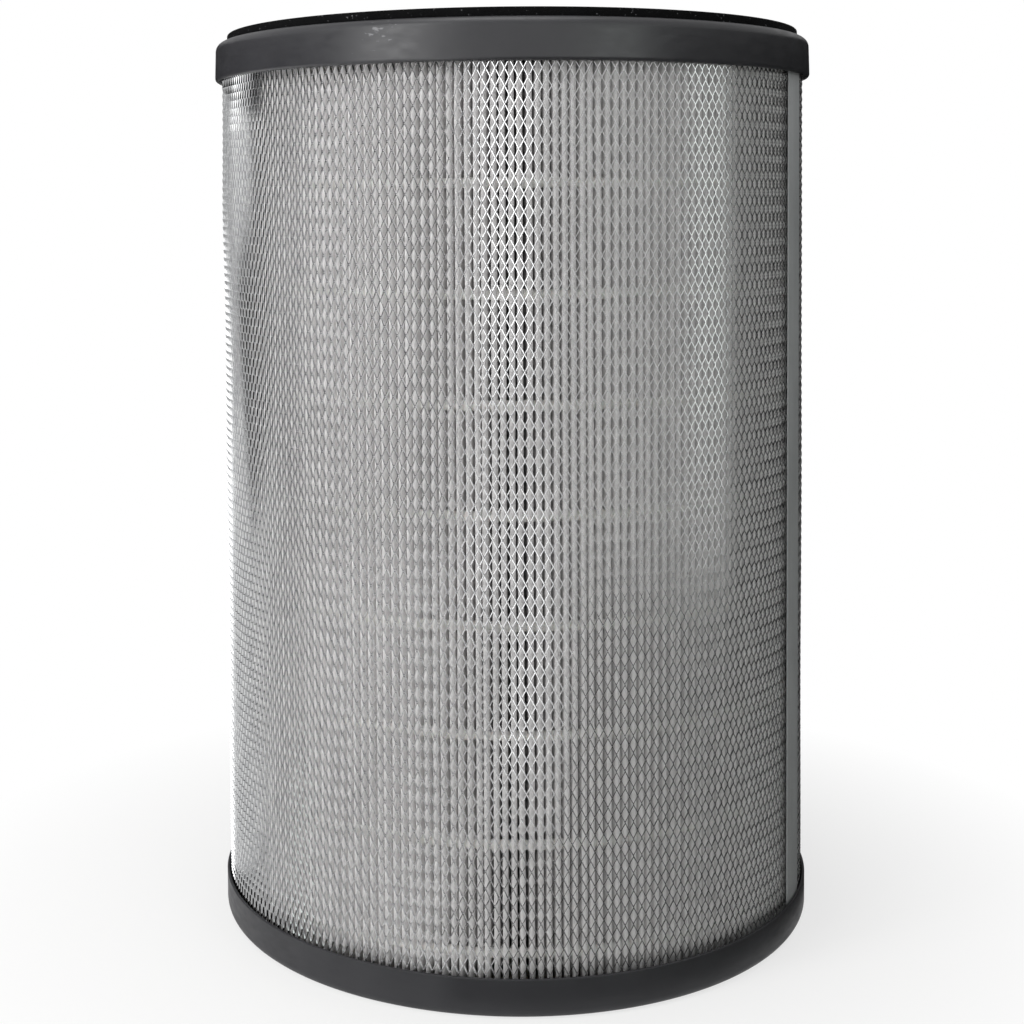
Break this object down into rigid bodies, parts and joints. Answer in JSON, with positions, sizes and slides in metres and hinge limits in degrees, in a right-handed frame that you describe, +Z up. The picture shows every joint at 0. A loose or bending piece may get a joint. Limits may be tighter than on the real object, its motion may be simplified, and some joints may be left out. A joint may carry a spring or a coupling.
{
  "type": "air purifier filter",
  "caption": "Round pleated air purifier filter with an expanded metal sleeve, moulded end caps, an open bore and a foam gasket on its top face.",
  "frame": {"origin": "centre of the bottom cap's flat base, on the surface that the filter stands on", "axes": "+Z up the filter's axis, towards the gasket; -Y towards the viewer; the seam strip stands 67 degrees round from -Y towards +X"},
  "size_m": [0.31, 0.31, 0.4553],
  "materials": {
    "cap_plastic": "moulded dark grey plastic with a satin gloss",
    "gasket_foam": "closed-cell black foam",
    "potting": "cast polyurethane, off-white",
    "filter_media": "white wet-laid glass fibre paper",
    "expanded_steel": "galvanised expanded sheet",
    "strip_steel": "dull grey galvanised strip",
    "hot_melt": "translucent white hot melt"
  },
  "bodies": {
    "root": {"top_cap": "cap_plastic", "bottom_cap": "cap_plastic", "gasket": "gasket_foam", "top_potting": "potting", "bottom_potting": "potting", "pleat_pack": "filter_media", "outer_mesh": "expanded_steel", "inner_mesh": "expanded_steel", "seam_strip": "strip_steel", "core_seam_strip": "strip_steel", "glue_bead_1": "hot_melt", "glue_bead_2": "hot_melt", "glue_bead_3": "hot_melt", "glue_bead_4": "hot_melt", "glue_bead_5": "hot_melt", "glue_bead_6": "hot_melt", "glue_bead_7": "hot_melt", "glue_bead_8": "hot_melt", "inner_glue_bead_1": "hot_melt", "inner_glue_bead_2": "hot_melt", "inner_glue_bead_3": "hot_melt", "inner_glue_bead_4": "hot_melt", "inner_glue_bead_5": "hot_melt", "inner_glue_bead_6": "hot_melt", "inner_glue_bead_7": "hot_melt", "inner_glue_bead_8": "hot_melt"}
  },
  "joints": []
}
